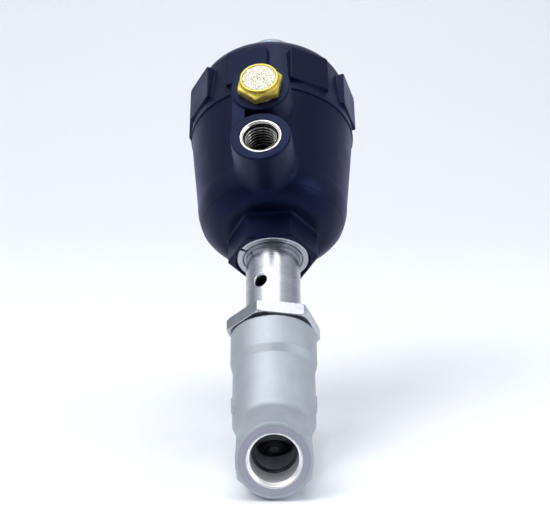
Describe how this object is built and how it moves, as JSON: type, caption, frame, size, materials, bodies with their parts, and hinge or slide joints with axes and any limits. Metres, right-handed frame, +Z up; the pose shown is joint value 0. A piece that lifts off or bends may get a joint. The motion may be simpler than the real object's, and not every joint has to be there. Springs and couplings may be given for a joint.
{
  "type": "pneumatic angle seat valve",
  "caption": "Angle-seat valve with plain pipe sockets, a stem leaning back at 45 degrees and a round plastic piston actuator with an air port, an exhaust silencer and a clear position cap.",
  "frame": {"origin": "centre of the inlet port face, on the flow axis; the socket wall starts 1.1 mm inside it, behind the mouth chamfer", "axes": "+Z up, +Y along the flow from the inlet (front) to the outlet (back), +X to the right; the stem leans back 45 degrees between +Y and +Z"},
  "size_m": [0.0686, 0.1697, 0.1506],
  "materials": {
    "cast_stainless": "fine investment-cast and blasted",
    "turned_stainless": "machined",
    "spring_steel": "drawn wire",
    "port_insert_steel": "bright turned thread",
    "ptfe": "waxy",
    "graphite_gasket": "matt",
    "bearing_plastic": "machined",
    "seal_rubber": "smooth",
    "actuator_plastic": "moulded, fine texture",
    "silencer_brass": "turned",
    "sintered_bronze": "sintered, porous",
    "indicator_plastic": "moulded",
    "clear_plastic": "clear moulded"
  },
  "bodies": {
    "valve": {"valve_body": "cast_stainless", "body_gasket": "graphite_gasket", "bonnet": "turned_stainless", "packing_clip": "spring_steel", "packing_washer": "turned_stainless", "packing_spring": "spring_steel", "packing_pressure_ring": "turned_stainless", "packing_v_rings": "ptfe", "packing_header": "ptfe", "lower_guide_bush": "bearing_plastic", "upper_guide_bush": "bearing_plastic", "rod_seal": "seal_rubber", "nipple_o_ring": "seal_rubber"},
    "stem": {"spindle": "turned_stainless", "piston_washer": "turned_stainless", "piston": "actuator_plastic", "piston_lip_seal": "seal_rubber", "piston_guide_ring": "bearing_plastic", "piston_hub_o_ring": "seal_rubber", "piston_nut": "turned_stainless", "indicator_pin": "indicator_plastic"},
    "plug": {"plug": "turned_stainless", "plug_seal": "ptfe", "seal_retainer": "turned_stainless", "retainer_screw": "turned_stainless", "plug_pins": "turned_stainless"},
    "actuator": {"housing": "actuator_plastic", "retaining_ring": "turned_stainless", "slide_ring": "turned_stainless", "pilot_insert": "port_insert_steel", "exhaust_insert": "port_insert_steel", "silencer_body": "silencer_brass", "silencer_disc": "sintered_bronze", "cover": "actuator_plastic", "cover_o_ring": "seal_rubber", "closing_spring": "spring_steel", "cap_o_ring": "seal_rubber", "indicator_cap": "clear_plastic"}
  },
  "joints": [
    {"name": "stem_lift", "type": "slide", "parent": "valve", "child": "stem", "axis": [0, 0.7071, 0.7071], "range_m": [0, 0.008], "stiffness_N_per_m": 6000, "springref_m": -0.0005, "deforming": ["closing_spring"]},
    {"name": "plug_spin", "type": "hinge", "parent": "stem", "child": "plug", "pos_m": [0, 0.03886, 0.00636], "axis": [0, 0.7071, 0.7071], "continuous": true},
    {"name": "actuator_swivel", "type": "hinge", "parent": "valve", "child": "actuator", "pos_m": [0, 0.08539, 0.05289], "axis": [0, 0.7071, 0.7071], "continuous": true}
  ]
}
